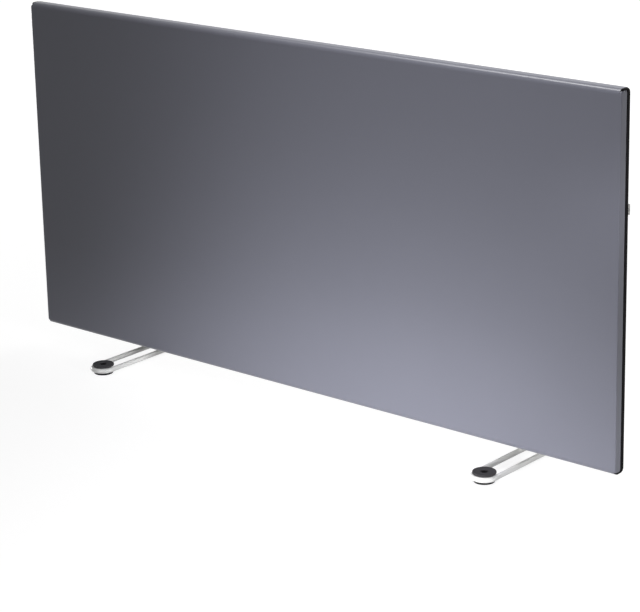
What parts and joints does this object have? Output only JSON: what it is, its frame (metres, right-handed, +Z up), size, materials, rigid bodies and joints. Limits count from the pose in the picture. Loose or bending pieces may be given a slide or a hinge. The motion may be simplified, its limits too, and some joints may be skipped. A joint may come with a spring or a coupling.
{
  "type": "convector heater",
  "caption": "Slim electric convector heater: metallic grey front panel with rolled edges on a white sheet-steel shell with a finned element, standing on wire feet with round rubber pads",
  "frame": {"origin": "on the floor, under the middle of the heater: the bottom centre of its box", "axes": "+Z up, the front faces -Y, the length runs along X with the controls at +X"},
  "size_m": [0.77, 0.1526, 0.394],
  "materials": {
    "front_paint": "satin metallic grey paint on steel",
    "black_trim": "satin black moulded trim",
    "white_paint": "white powder coat with a fine texture",
    "white_plastic": "white moulded plastic, lightly textured",
    "zinc_steel": "zinc-plated steel",
    "fin_aluminium": "extruded aluminium",
    "rod_steel": "stainless sheath, heat tinted",
    "bush_ceramic": "unglazed ceramic",
    "black_plastic": "black moulded plastic",
    "display_glass": "smoked clear window",
    "board_laminate": "green laminate with parts",
    "grey_button": "grey moulded buttons",
    "pad_rubber": "dark rubber",
    "cap_plastic": "charcoal moulded disc",
    "wire_sleeve": "heat-proof woven sleeve"
  },
  "bodies": {
    "body": {"front_panel": "front_paint", "left_end_cap": "front_paint", "right_end_cap": "front_paint", "left_side_frame": "black_trim", "right_side_frame": "black_trim", "rear_shell": "white_paint", "left_foot_loop": "white_paint", "right_foot_loop": "white_paint", "left_foot_bracket": "white_paint", "right_foot_bracket": "white_paint", "left_cheek": "white_plastic", "right_cheek": "white_plastic", "control_fascia": "white_plastic", "switch_body": "white_plastic", "terminal_block": "white_plastic", "sensor_pod": "white_plastic", "baffle_plate": "zinc_steel", "left_hanger_plate": "zinc_steel", "right_hanger_plate": "zinc_steel", "left_element_bracket": "zinc_steel", "right_element_bracket": "zinc_steel", "cutout_plate": "zinc_steel", "front_screw_1": "zinc_steel", "front_screw_2": "zinc_steel", "front_screw_3": "zinc_steel", "front_screw_4": "zinc_steel", "left_bracket_screw_1": "zinc_steel", "left_bracket_screw_2": "zinc_steel", "right_bracket_screw_1": "zinc_steel", "right_bracket_screw_2": "zinc_steel", "heating_element": "fin_aluminium", "heating_rod": "rod_steel", "left_element_bush": "bush_ceramic", "right_element_bush": "bush_ceramic", "overheat_cutout": "black_plastic", "relay": "black_plastic", "power_supply": "black_plastic", "cable_gland": "black_plastic", "gland_nut": "black_plastic", "left_front_pad_screw": "black_plastic", "left_rear_pad_screw": "black_plastic", "right_front_pad_screw": "black_plastic", "right_rear_pad_screw": "black_plastic", "display_window": "display_glass", "circuit_board": "board_laminate", "left_front_foot_pad": "pad_rubber", "left_rear_foot_pad": "pad_rubber", "right_front_foot_pad": "pad_rubber", "right_rear_foot_pad": "pad_rubber", "left_front_foot_cap": "cap_plastic", "left_rear_foot_cap": "cap_plastic", "right_front_foot_cap": "cap_plastic", "right_rear_foot_cap": "cap_plastic", "left_wire": "wire_sleeve", "right_wire": "wire_sleeve"},
    "rocker": {"power_rocker": "white_plastic"},
    "plus": {"plus_button": "grey_button"},
    "minus": {"minus_button": "grey_button"},
    "mode": {"mode_button": "grey_button"}
  },
  "joints": [
    {"name": "rocker_switch", "type": "hinge", "parent": "body", "child": "rocker", "pos_m": [0.3608, 0.0135, 0.2705], "axis": [0, 0, 1], "range_deg": [0, 16]},
    {"name": "plus_press", "type": "slide", "parent": "body", "child": "plus", "axis": [-1, 0, 0], "range_m": [0, 0.0008], "stiffness_N_per_m": 300},
    {"name": "minus_press", "type": "slide", "parent": "body", "child": "minus", "axis": [-1, 0, 0], "range_m": [0, 0.0008], "stiffness_N_per_m": 300},
    {"name": "mode_press", "type": "slide", "parent": "body", "child": "mode", "axis": [-1, 0, 0], "range_m": [0, 0.0008], "stiffness_N_per_m": 300}
  ]
}
